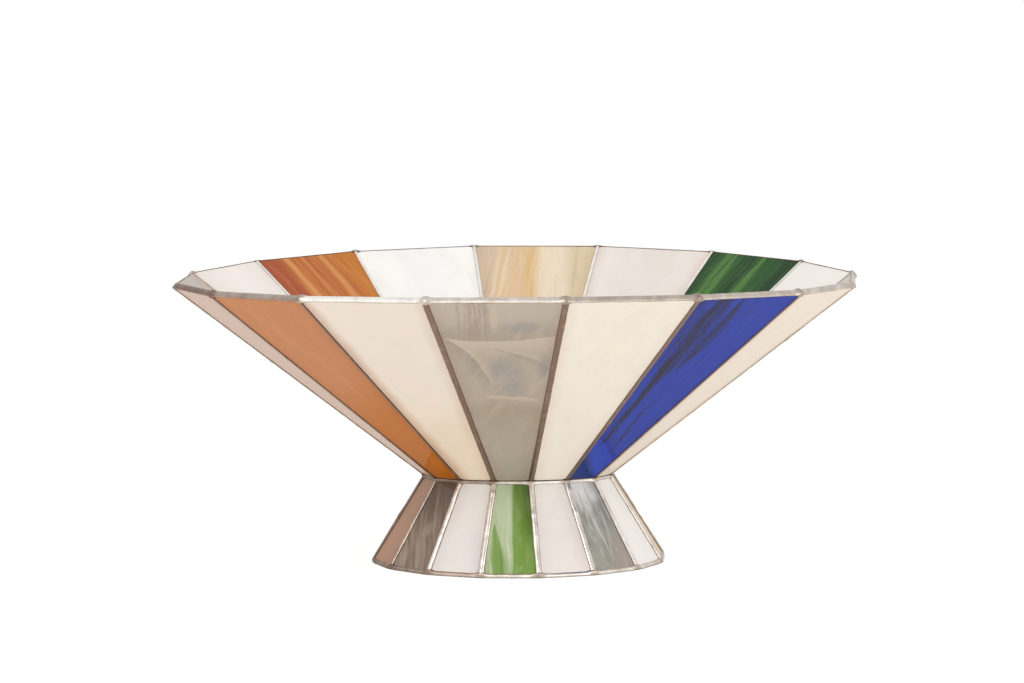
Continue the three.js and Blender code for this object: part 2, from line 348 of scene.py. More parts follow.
class SeamShape:
    """The H-shaped section of a seam's solder, which holds both glass edges."""

    def __init__(self, sizes, half_angle, inset, thickness, taper, seed):
        self.sizes = sizes
        self.taper = taper
        self.lean = math.tan(half_angle)
        self.seed = seed
        slope = Vector((math.cos(half_angle), -math.sin(half_angle)))
        inward = Vector((-math.sin(half_angle), -math.cos(half_angle)))
        self.glass_outer = slope * inset
        self.glass_inner = self.glass_outer + inward * thickness
        self.inner_face = -thickness / math.cos(half_angle)
        chance = random.Random(seed)
        self.lumps = [
            (chance.uniform(0.04, 0.96), chance.uniform(0.4, 1.0), chance.uniform(0.5, 1.3))
            for _ in range(chance.randint(2, 5))
        ]

    def lump(self, place, length):
        return sum(
            height * math.exp(-(((place - share * length) / size) ** 2))
            for share, height, size in self.lumps
        )

    def widths(self, place, key, length):
        """The bead's left and right half width and its crown at this place along it."""
        seed = self.seed + (0 if key == "outer" else 50)
        crown_key = "crown" if key == "outer" else "inner_crown"
        lump = self.lump(place, length) if key == "outer" else 0
        taper = 1 - self.taper * (1 - place / length)
        halves = [
            self.sizes[key] * taper * (1 + 0.07 * wander(place, 14, seed + side)
                                       + 0.06 * wander(place, 3, seed + side + 9))
            + LUMP_WIDTH * lump
            for side in (1, 2)
        ]
        crown = self.sizes[crown_key] * (1 + 0.25 * wander(place, 9, seed + 3)) + LUMP_CROWN * lump
        return halves[0], halves[1], crown

    def section(self, place, length):
        """Points (sideways, outward) and their crown shares, anticlockwise, in millimetres."""
        points, edges = [], []
        left, right, crown = self.widths(place, "outer", length)
        for share in reversed(bead_arc()):
            x = share * (right if share > 0 else left)
            face = -self.lean * (math.hypot(x, CREASE_SOFT) - CREASE_SOFT)
            points.append((x, face + FOIL + crown * crown_curve(share)))
            edges.append(1 - abs(share))
        points += [(-self.glass_outer.x, self.glass_outer.y + FOIL),
                   (-self.glass_inner.x, self.glass_inner.y - FOIL)]
        edges += [0, 0]
        left, right, crown = self.widths(place, "inner", length)
        for share in bead_arc():
            x = share * (right if share > 0 else left)
            face = self.inner_face - self.lean * abs(x)
            points.append((x, face - FOIL - crown * crown_curve(share)))
            edges.append(1 - abs(share))
        points += [(self.glass_inner.x, self.glass_inner.y - FOIL),
                   (self.glass_outer.x, self.glass_outer.y + FOIL)]
        edges += [0, 0]
        return points, edges


def seam_piece(name, panes, seam, ends, sizes, taper, clear, tarnish):
    """The solder of one seam, from its low end to its high end. clear is how far the bead stays off
    each end of its line, and the last argument is the painted shade of its outer and its inner side."""
    before, after = panes[around(seam - 1)], panes[seam]
    low, high = ends
    along = (high - low).normalized()
    outward = (before.outward + after.outward).normalized()
    sideways = outward.cross(along)
    half_angle = before.outward.angle(after.outward) / 2
    seed = seam + (100 if panes is FOOT else 0)
    shape = SeamShape(sizes, half_angle, SEAM_INSET, after.thickness / MM, taper, seed)
    length = (high - low).length / MM
    start, stop = clear[0], length - clear[1]
    count = round((stop - start) / SEAM_STEP)
    rings = []
    for i in range(count + 1):
        place = start + (stop - start) * i / count
        points, edges = shape.section(place, length)
        centre = low + along * place * MM
        rings.append([centre + sideways * x * MM + outward * y * MM for x, y in points])
    outer_points = ARC_STEPS + 2
    inner_points = len(edges) - outer_points - 1
    side = [tarnish[0]] * outer_points + [tarnish[1]] * inner_points + [tarnish[0]]
    return sweep(name, rings, edges, [side] * len(rings), closed=False)


# A ring bead runs round the sixteen sides. Its section is given in a side's own directions, out and
# up, and mitred at the corners, where it swells into a blob.


def mitre(before, after):
    return (before + after) / (1 + before.dot(after))


def ring_piece(name, corners, side, section, blob_length, blob_size, tones, girths):
    """A closed bead. side(n) gives side n's directions out and up, and section(place, blob, girth)
    the points and crown shares at a place along the whole ring. tones has the painted shade of each
    side, and girths the size of those that differ from 1."""
    rings, tarnish = [], []
    travelled = 0.0
    for n in NUMBERS:
        start, stop = corners[n], corners[around(n + 1)]
        length = (stop - start).length / MM
        out, up = side(n)
        out_before, up_before = side(around(n - 1))
        count = round((length - 2 * CORNER_GAP) / RING_STEP)
        run = length - 2 * CORNER_GAP
        places = [0.0] + [CORNER_GAP + run * i / count for i in range(count + 1)]
        for place in places:
            near = min(place, length - place)
            nearest = n if place < length / 2 else around(n + 1)
            blob = math.exp(-((near / blob_length) ** 4)) * blob_size.get(nearest, 1.0)
            beside = around(n - 1 if place < length / 2 else n + 1)
            blend = 0.5 * max(0.0, 1 - near / SIDE_BLEND)
            tone = tones[n] * (1 - blend) + tones[beside] * blend
            girth = girths.get(n, 1.0) * (1 - blend) + girths.get(beside, 1.0) * blend
            points, edges = section(travelled + place, blob, girth)
            # Painted shade: the side's tone, blended at the corners, and more of it on a blob, for the
            # shade under it.
            tarnish.append([min(1.0, tone + 0.3 * blob)] * len(points))
            x_way, y_way = (out, up) if place else (mitre(out_before, out), mitre(up_before, up))
            centre = start.lerp(stop, place / length)
            rings.append([centre + x_way * x * MM + y_way * y * MM for x, y in points])
        travelled += length
    return sweep(name, rings, edges, tarnish, closed=True)


def sloping_side(n):
    return BOWL[n].outward, BOWL[n].up


def level_side(n):
    edge = WAIST_CORNERS[around(n + 1)] - WAIST_CORNERS[n]
    return edge.cross(Vector((0, 0, 1))).normalized(), Vector((0, 0, 1))


def flat_topped(angle, half_width, height):
    """A point of half a superellipse, which rises from both sides to a nearly flat top."""
    across, rise = math.cos(angle), math.sin(angle)
    power = 2 / 2.3
    x = half_width * math.copysign(abs(across) ** power, across)
    return x, height * max(0.0, rise) ** power


def rim_section(place, blob, girth):
    glass = BOWL[1].thickness / MM
    wall = RIM_WALL + uneven(place, 0.08, 0.04, 21) + 0.75 * blob
    inner_wall = RIM_WALL + uneven(place, 0.08, 0.04, 23) + 0.7 * blob
    top = RIM_TOP * girth + uneven(place, 0.1, 0.05, 25, length=15) + 0.85 * blob
    lap = RIM_LAP * girth + uneven(place, 0.14, 0.07, 27) + 1.25 * blob
    inner_lap = RIM_LAP + uneven(place, 0.14, 0.08, 29) + 1.1 * blob
    edge = -RIM_INSET
    line = 1 - RIM_LINE
    points = [(FOIL, edge - lap), (0.35 * wall, edge - line * lap), (wall, edge - 0.3 * lap)]
    edges = [0, 0.04, 0.8]
    half = (glass + wall + inner_wall) / 2
    middle = (wall - glass - inner_wall) / 2
    for i in range(ARC_STEPS + 1):
        x, y = flat_topped(math.pi * i / ARC_STEPS, half, top)
        points.append((middle + x, edge + y))
        edges.append(1)
    points += [
        (-glass - inner_wall, edge - 0.3 * inner_lap),
        (-glass - 0.35 * inner_wall, edge - line * inner_lap),
        (-glass - FOIL, edge - inner_lap),
        (-glass - FOIL, edge + FOIL),
        (FOIL, edge + FOIL),
    ]
    edges += [0.8, 0.04, 0, 0, 0]
    return points, edges


class Slope:
    """A pane's cross-section beside the waist or foot line, in a level side's out and up."""

    def __init__(self, pane, side, line_to_edge, edge_is_low):
        out, up = side
        rise = Vector((pane.up.dot(out), pane.up.dot(up)))
        self.away = rise if edge_is_low else -rise
        self.outward = Vector((pane.outward.dot(out), pane.outward.dot(up)))
        self.thickness = pane.thickness / MM
        self.edge = self.away * line_to_edge

    def outer(self, distance, off=0.0):
        """A point on the outer face, so far from the line along the face."""
        return self.away * distance + self.outward * off

    def inner(self, distance, off=0.0):
        return self.away * distance - self.outward * (self.thickness + off)


def waist_section(place, blob, _girth):
    side = level_side(1)
    bowl = Slope(BOWL[1], side, WAIST_INSET, True)
    foot = Slope(FOOT[1], side, WAIST_INSET, False)
    floor_edge, floor_low, floor_top = WAIST_FLOOR
    reach = 1.3 + 0.12 * wander(place, 9, 31) + 0.9 * blob
    foot_reach = 1.5 + 0.12 * wander(place, 9, 32) + 1.2 * blob
    belly = 0.4 + 0.1 * wander(place, 6, 33) + 0.85 * blob
    points = [
        foot.outer(foot_reach, FOIL),
        foot.outer(0.72 * foot_reach, 0.24 + 0.5 * blob),
        Vector((belly + 0.1, -0.35)),
        Vector((belly + 0.2, 0.15)),
        bowl.outer(0.75 * reach, 0.16 + 0.4 * blob),
        bowl.outer(reach, FOIL),
        bowl.outer(WAIST_INSET, FOIL),
        bowl.inner(WAIST_INSET, FOIL),
        bowl.inner(WAIST_INSET + 1.5, FOIL),
        bowl.inner(WAIST_INSET + 0.9, 0.6),
        Vector((floor_edge - 0.5, floor_top + 0.7)),
        Vector((floor_edge - 1.5, floor_top + FOIL)),
        Vector((floor_edge + FOIL, floor_top + FOIL)),
        Vector((floor_edge + FOIL, floor_low - FOIL)),
        Vector((floor_edge - 1.6, floor_low - FOIL)),
        Vector((floor_edge - 1.2, floor_low - 1.2)),
        foot.inner(WAIST_INSET + 0.9, 0.9),
        foot.inner(WAIST_INSET + 1.6, FOIL),
        foot.inner(WAIST_INSET, FOIL),
        foot.outer(WAIST_INSET, FOIL),
    ]
    edges = [0.05, 0.2, 1, 0.12, 0, 0, 0, 0, 0, 0.6, 1, 0, 0, 0, 0, 0.8, 0.8, 0, 0, 0]
    return [tuple(point) for point in points], edges


def foot_section(place, blob, _girth):
    side = level_side(1)
    line_to_edge = (FOOT[1].origin - GROUND_MIDDLE).dot(FOOT[1].up) / MM
    foot = Slope(FOOT[1], side, line_to_edge, True)
    lap = line_to_edge + 0.4 + 0.12 * wander(place, 5, 41) + 0.9 * blob
    wall = 0.62 + 0.1 * wander(place, 6, 42) + 0.1 * blob
    inner = foot.inner(line_to_edge, 0)
    tuck = Vector((-0.6 * blob, 0))
    points = [
        Vector((-4.4, 0.02)),
        Vector((-0.7, 0.0)),
        Vector((0.0, 0.05)) + tuck,
        foot.outer(0.5, 0.6 * wall) + tuck,
        foot.outer(0.35 * lap, 0.95 * wall) + tuck * 0.6,
        foot.outer(0.62 * lap, wall),
        foot.outer(0.85 * lap, 0.7 * wall),
        foot.outer(lap, FOIL),
        foot.outer(line_to_edge - FOIL, FOIL),
        inner + foot.away * -FOIL - foot.outward * FOIL,
        foot.inner(line_to_edge + 1.4, FOIL),
        foot.inner(line_to_edge + 1.0, 0.35),
        foot.inner(line_to_edge, 0.55),
        Vector((inner.x - 0.9, 0.35)),
    ]
    # The bead's low side by the ground gets small crown shares, so that it takes the dark border tone:
    # painted shadow along its foot.
    edges = [0.1, 0.03, 0.06, 0.16, 0.5, 1, 0.6, 0, 0, 0, 0, 0.5, 1, 0.6]
    return [tuple(point) for point in points], edges


GROUND_MIDDLE = (GROUND_CORNERS[1] + GROUND_CORNERS[2]) / 2


def floor_in_waist():
    """The floor pane's edge, underside and top in the waist's out and up."""
    out, _ = level_side(1)
    line = WAIST_CORNERS[1].dot(out)
    edge = max((FLOOR.matrix() @ Vector((x, y, 0))).dot(out) for x, y in FLOOR.outline)
    waist_height = (WAIST_CORNERS[1].z + WAIST_CORNERS[2].z) / 2
    top = FLOOR.origin.z - waist_height
    return (edge - line) / MM, (top - FLOOR.thickness) / MM, top / MM


WAIST_FLOOR = floor_in_waist()


# ---- materials ----


def rgb(red, green, blue):
    """A linear colour from the usual 0 to 255 display values."""
    def linear(value):
        value /= 255
        return value / 12.92 if value <= 0.04045 else ((value + 0.055) / 1.055) ** 2.4
    return (linear(red), linear(green), linear(blue), 1.0)


class Graph:
    """Short calls for the nodes of one material or world."""

    def __init__(self, owner):
        self.owner = owner
        owner.use_nodes = True
        self.tree = owner.node_tree
        self.tree.nodes.clear()

    def add(self, kind, inputs=(), **settings):
        made = self.tree.nodes.new("ShaderNode" + kind)
        for key, value in settings.items():
            setattr(made, key, value)
        for socket, value in dict(inputs).items():
            self.put(made.inputs[socket], value)
        return made

    def put(self, socket, value):
        """Sets an input to a plain value, or links it. A node stands for its first output."""
        if isinstance(value, bpy.types.Node):
            value = value.outputs[0]
        if isinstance(value, bpy.types.NodeSocket):
            self.tree.links.new(value, socket)
        else:
            socket.default_value = value

    def math(self, operation, *values, clamp=False):
        return self.add("Math", enumerate(values), operation=operation,
                        use_clamp=clamp)

    def plus(self, first, second):
        return self.math("ADD", first, second)

    def minus(self, first, second):
        return self.math("SUBTRACT", first, second)

    def times(self, first, second):
        return self.math("MULTIPLY", first, second)

    def over(self, first, second, **more):
        return self.math("DIVIDE", first, second, **more)

    def times_plus(self, first, second, third, **more):
        """first x second + third"""
        return self.math("MULTIPLY_ADD", first, second, third, **more)

    def mix(self, factor, first, second, blend="MIX"):
        # The node has sockets for numbers and vectors too: 6, 7 and output 2 are the colours.
        inputs = {0: factor, 6: first, 7: second}
        return self.add("Mix", inputs, data_type="RGBA", blend_type=blend).outputs[2]

    def noise(self, vector, scale, detail=2.0, roughness=0.5):
        inputs = {"Vector": vector, "Scale": scale, "Detail": detail, "Roughness": roughness}
        return self.add("TexNoise", inputs)

    def ramp(self, factor, stops, smooth=True):
        made = self.add("ValToRGB", {"Fac": factor})
        made.color_ramp.interpolation = "EASE" if smooth else "LINEAR"
        elements = made.color_ramp.elements
        while len(elements) < len(stops):
            elements.new(0.5)
        for element, (position, colour) in zip(elements, stops):
            element.position = position
            element.color = colour
        return made

    def map(self, vector, scale=(1, 1, 1), shift=(0, 0, 0)):
        return self.add("Mapping", {"Vector": vector, "Scale": scale, "Location": shift})

    def axes(self, vector):
        """Its x, y and z."""
        return self.add("SeparateXYZ", {0: vector}).outputs

    def smooth_range(self, value, low, high, to_low=0.0, to_high=1.0):
        return self.add("MapRange", enumerate((value, low, high, to_low, to_high)),
                        interpolation_type="SMOOTHSTEP")

    def finish(self, shader, kind="OutputMaterial"):
        self.add(kind, {0: shader})
        return self.owner


# Tint of the painted shade along a pane's edges.
SEAM_SHADE_TINT = rgb(218, 192, 176)

# A mark is (mask, tint, strength). Its mask takes the graph and the place on the pane, across and
# up in millimetres, both bent a little so that no line is ruler-straight.


def patch(x, y, half_x, half_y, soft=0.7):
    """A rounded patch, fading over the share soft of its size."""
    def mask(g, across, up):
        right = g.over(g.minus(across, x), half_x)
        rise = g.over(g.minus(up, y), half_y)
        far = g.math("SQRT", g.plus(g.times(right, right), g.times(rise, rise)))
        return g.smooth_range(far, 1 - soft, 1.0, 1.0, 0.0)
    return mask


def along_curve(g, across, up, points):
    """How far a place is off the curve through three points, and its share of the curve's run, from
    -1 to 1. The curve runs up the pane or across it, whichever its ends are further apart in."""
    start, _, stop = points
    upright = abs(stop[1] - start[1]) > abs(stop[0] - start[0])
    run, other = (up, across) if upright else (across, up)
    runs = [y if upright else x for x, y in points]
    others = [x if upright else y for x, y in points]
    a, b, c = (float(value) for value in np.polyfit(runs, others, 2))
    line = g.times_plus(g.times_plus(run, a, b), run, c)
    middle, half = (runs[0] + runs[2]) / 2, abs(runs[2] - runs[0]) / 2
    share = g.over(g.minus(run, middle), half)
    return g.minus(other, line), share


def streak(start, middle, stop, half_width, soft=0.75):
    """A streak through three points, which runs out to a tip at both ends."""
    def mask(g, across, up):
        off, share = along_curve(g, across, up, (start, middle, stop))
        taper = g.minus(1.0, g.times(share, share))
        room = g.times(g.math("MAXIMUM", taper, 0.001), half_width)
        off = g.over(g.math("ABSOLUTE", off), room)
        return g.smooth_range(off, 1 - soft, 1.0, 1.0, 0.0)
    return mask


def fold(start, middle, stop, reach):
    """One side of the curve through three points, fading away from it. A positive reach is to the
    right of a curve that runs up the pane, or above one that runs across it."""
    def mask(g, across, up):
        off, share = along_curve(g, across, up, (start, middle, stop))
        off = g.times(off, math.copysign(1, reach))
        near = g.times(g.smooth_range(off, -0.5, 0.5),
                       g.smooth_range(off, 0.0, abs(reach), 1.0, 0.0))
        return g.times(near, g.smooth_range(g.math("ABSOLUTE", share), 0.6, 1.0, 1.0, 0.0))
    return mask


def beyond(x, y, degrees, soft):
    """Everything on one side of a line through x, y. degrees is the way to that side."""
    def mask(g, across, up):
        turn = math.radians(degrees)
        right = g.times(g.minus(across, x), math.cos(turn))
        far = g.times_plus(g.minus(up, y), math.sin(turn), right)
        return g.smooth_range(far, -soft, soft)
    return mask


def strands(width, least, most, stretch=0.07, lean=0.0, seed=0.0):
    """Fine feathery strands along the sheet, where the streaky noise is between least and most."""
    def mask(g, across, up):
        leaning = g.times_plus(up, -lean, across)
        place = g.add("CombineXYZ", {0: leaning, 1: g.times(up, stretch), 2: seed})
        value = g.noise(place, 1 / width, detail=5, roughness=0.6)
        return g.smooth_range(value, least, most)
    return mask


def both(first, second):
    def mask(g, across, up):
        return g.times(first(g, across, up), second(g, across, up))
    return mask


def glass_material(name, pane, look, seed):
    """Streaky opalescent glass for one pane: bands across the sheet, marks, fine streaks, clouds."""
    g = Graph(bpy.data.materials.new(name))
    place = g.add("TexCoord").outputs["Object"]
    sheet = g.map(place, scale=(1 / MM, 1 / MM, 1 / MM))
    offset = (13.7 * seed, 5.3 * seed, 2.9 * seed)
    shifted = g.map(sheet, shift=offset)
    sheet_x, sheet_y, _ = g.axes(sheet)
    slow = g.minus(g.noise(shifted, 0.045), 0.5)
    quick = g.minus(g.noise(g.map(shifted, scale=(1, 0.3, 1)), 0.3, detail=3), 0.5)
    bend = g.times_plus(quick, look["warp"] * 0.35, g.times(slow, look["warp"]))
    across = g.plus(sheet_x, bend)
    up = g.plus(sheet_y, g.times(bend, 1.4))

    bands = look["bands"]
    low, high = bands[0][0], bands[-1][0]
    span = max(high - low, 1e-3)
    share = g.over(g.minus(across, low), span, clamp=True)
    colour = g.ramp(share, [((x - low) / span, tint) for x, tint in bands])
    for mask, tint, strength in look["marks"]:
        colour = g.mix(g.times(mask(g, across, up), strength), colour, tint)

    streaks = g.map(shifted, scale=(1, look["stretch"], 1))
    fine = g.noise(streaks, 0.7, detail=5, roughness=0.62)
    clouds = g.noise(shifted, 0.04, detail=3)
    shade = g.times_plus(g.minus(fine, 0.5), 2 * look["fine"], 1.0)
    shade = g.times_plus(g.minus(clouds, 0.5), look["clouds"], shade)
    grey = g.add("CombineColor", {0: shade, 1: shade, 2: shade})
    colour = g.mix(1.0, colour, grey, "MULTIPLY")
    # Painted shade along the pane's edges.
    if any(look["seam_tint"]):
        colour = seam_tint(g, colour, pane, place, look["seam_tint"])
    height = g.noise(shifted, 0.11)
    bump = g.add("Bump", {"Height": height, "Strength": 0.6, "Distance": 0.00006})
    shader = g.add("BsdfPrincipled", {
        "Base Color": colour,
        "Roughness": 0.6,
        "Specular IOR Level": 0.05,
        "Transmission Weight": look["clear"],
        "IOR": 1.5,
        "Coat Weight": look["gloss"],
        "Coat Roughness": 0.04,
        "Coat IOR": 1.5,
        "Normal": bump,
        "Coat Normal": bump,
    })
    return g.finish(shader)


def seam_tint(g, colour, pane, place, strength):
    """Warms and darkens the glass close to its edges: painted shade, where the seams keep light from
    coming through. strength goes to the left and the right edge."""
    x, y, _ = g.axes(place)
    low, top, height = pane.low_half_width, pane.top_half_width, pane.height
    half = g.times_plus(y, (top - low) / height, low)
    patchy = g.minus(g.noise(place, 60.0), 0.5)
    shaded = g.mix(1.0, colour, SEAM_SHADE_TINT, "MULTIPLY")
    for side, amount in zip((1, -1), strength):
        beside = g.times_plus(x, side, half)
        wobble = g.times_plus(patchy, 4.0 * MM, beside)
        wide = g.smooth_range(wobble, -1.0 * MM, 8.0 * MM, amount, 0.0)
        colour = g.mix(wide, colour, shaded)
    return colour


SOLDER_BRIGHT = rgb(253, 250, 245)
SOLDER_DULL = rgb(204, 194, 184)
# Brown of the painted shade on the solder.
SOLDER_SHADE_BROWN = rgb(142, 120, 109)
SOLDER_LINE = rgb(84, 66, 56)
SOLDER_ROUGHNESS = 0.3


def solder_material(name):
    """Hand-laid solder, bright or brown: the brown is painted shade and painted reflection, broken up
    by random patches, with a dark line along its borders.
    """
    g = Graph(bpy.data.materials.new(name))
    place = g.add("TexCoord").outputs["Object"]
    mm = g.map(place, scale=(1 / MM, 1 / MM, 1 / MM))
    crown = g.add("Attribute", attribute_name="crown").outputs["Fac"]
    tarnish = g.add("Attribute", attribute_name="tarnish").outputs["Fac"]
    patches = g.noise(mm, 0.16, detail=4, roughness=0.6)
    specks = g.noise(mm, 1.1, detail=4, roughness=0.65)
    # Painted shade from the attribute, with random patches, takes the tone from bright to brown.
    mottle_and_shade = g.times_plus(g.minus(patches, 0.48), 0.8, tarnish, clamp=True)
    tone = g.ramp(mottle_and_shade, [(0.0, SOLDER_BRIGHT), (0.4, SOLDER_DULL), (1.0, SOLDER_SHADE_BROWN)], False)
    tone = g.mix(g.smooth_range(specks, 0.55, 0.75, 0.0, 0.3), tone, SOLDER_LINE)
    ragged = g.times_plus(g.minus(specks, 0.5), 0.2, crown)
    border = g.smooth_range(ragged, 0.03, 0.2, 0.95, 0.0)
    tone = g.mix(border, tone, SOLDER_LINE)
    gloss = g.times_plus(tarnish, 0.12, SOLDER_ROUGHNESS)
    gloss = g.times_plus(g.minus(specks, 0.5), 0.25, gloss)
    gloss = g.times_plus(border, 0.3, gloss)
    heights = g.times_plus(patches, 2.0, specks)
    bump = g.add("Bump", {"Height": heights, "Strength": 0.5, "Distance": 0.0001})
    shader = g.add("BsdfPrincipled", {
        "Base Color": tone,
        "Metallic": 1.0,
        "Roughness": gloss,
        "Normal": bump,
    })
    return g.finish(shader)


SOLDER = solder_material("solder")


# ---- the glass of each pane ----

CREAM = rgb(249, 246, 241)
CREAM_COOL = rgb(246, 247, 247)
CREAM_WARM = rgb(250, 245, 237)
CREAM_PINK = rgb(247, 239, 235)
CREAM_SHADE = rgb(240, 233, 226)
WHITE = rgb(253, 251, 248)
CREAM_MARKS = [(strands(10.0, 0.42, 0.62, stretch=0.35, seed=9.0), rgb(238, 240, 236), 0.4)]

# Bands run this far to both sides of a pane's middle line, on a bowl pane and on a foot pane.
HALF_TOP = 36.0
HALF_FOOT = 16.0


def spread(*tints, half=HALF_TOP):
    """Bands of these tints, evenly spread from the left of a pane to its right."""
    steps = max(len(tints) - 1, 1)
    return [(-half + 2 * half * i / steps, tint) for i, tint in enumerate(tints)]


def glass(bands, **more):
    """A pane's look. bands are pairs of a place across the pane and the tint there."""
    look = {
        "bands": bands, "marks": [], "warp": 8.0, "stretch": 0.05, "fine": 0.06,
        "clouds": 0.08, "seam_tint": (0.3, 0.3), "clear": 0.1, "gloss": 0.5,
    }
    return {**look, **more}


def cream(*tints, half=HALF_TOP, **more):
    settings = {"fine": 0.014, "clouds": 0.06, "warp": 20.0, "stretch": 0.3, "marks": CREAM_MARKS}
    return glass(spread(*tints, half=half), **{**settings, **more})


GREY = rgb(184, 174, 163)
GREY_LIGHT = rgb(204, 193, 181)
GREY_TOP = rgb(200, 193, 186)
GREY_DARK = rgb(158, 150, 142)
GREY_BLUE = rgb(160, 159, 159)
GREY_GREEN = rgb(183, 179, 169)
GREY_LINE = rgb(204, 192, 178)
COBALT = rgb(6, 52, 178)
COBALT_PURE = rgb(2, 66, 206)
COBALT_DARK = rgb(14, 16, 50)
COBALT_DEEP = rgb(0, 48, 132)
GREEN_DARK = rgb(14, 54, 20)
GREEN_MID = rgb(36, 88, 30)
GREEN_LIGHT = rgb(84, 136, 62)
BEIGE = rgb(223, 193, 154)
BEIGE_GREY = rgb(214, 192, 168)
BEIGE_WISP = rgb(238, 222, 198)
BEIGE_AMBER = rgb(222, 186, 132)
RUST = rgb(188, 104, 40)
RUST_RED = rgb(164, 74, 36)
RUST_LIGHT = rgb(214, 150, 84)
RUST_AMBER = rgb(196, 120, 30)
ORANGE = rgb(202, 133, 84)
ORANGE_LIGHT = rgb(210, 146, 98)
AMBER = rgb(199, 115, 10)
TAUPE = rgb(192, 166, 150)
GREY_PINK = rgb(170, 156, 147)
BEIGE_OLIVE = rgb(220, 204, 172)
BEIGE_DARK = rgb(196, 174, 148)

BLUE_MARKS = [
    (both(streak((-16, 210), (-13, 142), (-9, 90), 7.0, 0.95), strands(5.0, 0.26, 0.46)),
     COBALT_DARK, 0.7),
    (streak((-19, 200), (-16.5, 122), (-6, 40), 5.4, 0.9), COBALT_DARK, 0.95),
    (streak((-5, 162), (-2.6, 132), (-6, 96), 7.2, 0.95), COBALT_DARK, 0.8),
    (streak((-11, 168), (-7, 148), (-4, 130), 1.0, 0.8), COBALT_PURE, 0.7),
    (both(streak((-30, 185), (-27, 145), (-20, 100), 4.0), strands(3.0, 0.4, 0.55)), COBALT_DARK,
     0.7),
    (streak((-12, 78), (-9.4, 48), (-5.0, 6), 2.4, 0.9), COBALT_DARK, 0.8),
    (streak((-14, 96), (-12.5, 62), (-8, 24), 1.3, 0.9), COBALT_DARK, 0.5),
    (streak((-1.0, 72), (1.4, 46), (3.6, 18), 1.9, 0.9), COBALT_DARK, 0.65),
    (strands(1.6, 0.5, 0.68, seed=4.0), COBALT_PURE, 0.5),
    (both(beyond(2, 90, 176, 14), strands(2.6, 0.5, 0.66, stretch=0.12, lean=-0.1, seed=12.0)),
     COBALT_DARK, 0.5),
    (beyond(-4, 29.6, -134, 0.9), COBALT_PURE, 0.75),
    (beyond(-5, 16, -140, 1.6), COBALT_DEEP, 0.9),
]

# Curves of pane 1's three folds. Each is drawn from both sides, in two tints.
TOP_FOLD = ((-40, 133), (-4, 128), (38, 134))
LEFT_FOLD = ((-33, 136), (-15.5, 116), (-7, 84))
RIGHT_FOLD = ((-8, 125), (9, 117), (21, 94))

GREY_MARKS = [
    (patch(0, 62, 34, 26, 0.9), rgb(170, 154, 138), 0.7),
    (beyond(0, 60, -90, 55), GREY_GREEN, 0.7),
    (fold(*TOP_FOLD, 20), GREY_DARK, 0.4),
    (beyond(0, 146, 90, 14), GREY_TOP, 0.7),
    (both(patch(-11, 146, 11, 26, 0.5), strands(2.6, 0.44, 0.56, seed=2.0)), GREY_PINK, 0.8),
    (both(beyond(0, 129, 90, 2.0), streak((-19, 190), (-19, 145), (-18.5, 110), 0.9)), GREY_DARK, 0.5),
    (both(beyond(0, 129, 90, 2.0), streak((-6, 190), (-6, 145), (-5.5, 110), 1.0)), GREY_DARK, 0.6),
    (patch(-1.5, 149, 3, 16, 0.7), GREY_LIGHT, 0.7),
    (patch(11, 139, 15, 8, 0.8), GREY_BLUE, 0.8),
    (fold(*TOP_FOLD, -17), GREY_LIGHT, 0.9),
    (fold(*LEFT_FOLD, -11), GREY_DARK, 0.75),
    (fold(*LEFT_FOLD, 5), GREY_LIGHT, 0.6),
    (fold(*RIGHT_FOLD, 7), GREY_LIGHT, 0.55),
    (fold(*RIGHT_FOLD, -10), GREY_DARK, 0.5),
    (patch(2, 97, 12, 24, 0.6), GREY_BLUE, 0.6),
    (patch(-1.5, 102, 5, 11, 0.8), GREY_BLUE, 0.6),
    (patch(5.5, 85, 8, 9, 0.6), GREY_BLUE, 0.6),
    (patch(21.5, 105, 6, 14, 0.8), GREY_BLUE, 0.7),
    (fold((-12, 80), (4, 77.5), (20, 76.5), -4), GREY_LIGHT, 0.9),
    (strands(6.0, 0.45, 0.66, stretch=0.3, lean=0.4, seed=6.0), GREY_LIGHT, 0.3),
]
RUST_MARKS = [
    (beyond(15.5, 130, -10, 1.8), RUST_RED, 0.9),
    (strands(4.0, 0.45, 0.63, stretch=0.04, lean=0.18, seed=1.0), RUST_RED, 0.5),
    (streak((24, 210), (12.5, 144), (4, 0), 4.0, 0.9), RUST_LIGHT, 0.9),
    (streak((12, 210), (2, 144), (0, 0), 2.0, 0.9), RUST_LIGHT, 0.6),
    (streak((0, 210), (-11.5, 144), (-3, 0), 4.6, 0.95), RUST_LIGHT, 0.85),
    (beyond(-20, 130, 168, 4.0), RUST_AMBER, 0.85),
    (strands(2.0, 0.5, 0.7, stretch=0.05, lean=0.18, seed=3.0), RUST_LIGHT, 0.4),
    (strands(1.4, 0.54, 0.7, stretch=0.05, lean=0.18, seed=8.0), RUST_RED, 0.4),
]
BEIGE_BANDS = [
    (-34, BEIGE_OLIVE), (-22, BEIGE_OLIVE), (-14, BEIGE_WISP), (-5, BEIGE_WISP), (2, BEIGE_AMBER),
    (8, BEIGE), (19, BEIGE), (25, BEIGE_GREY), (34, BEIGE_GREY),
]
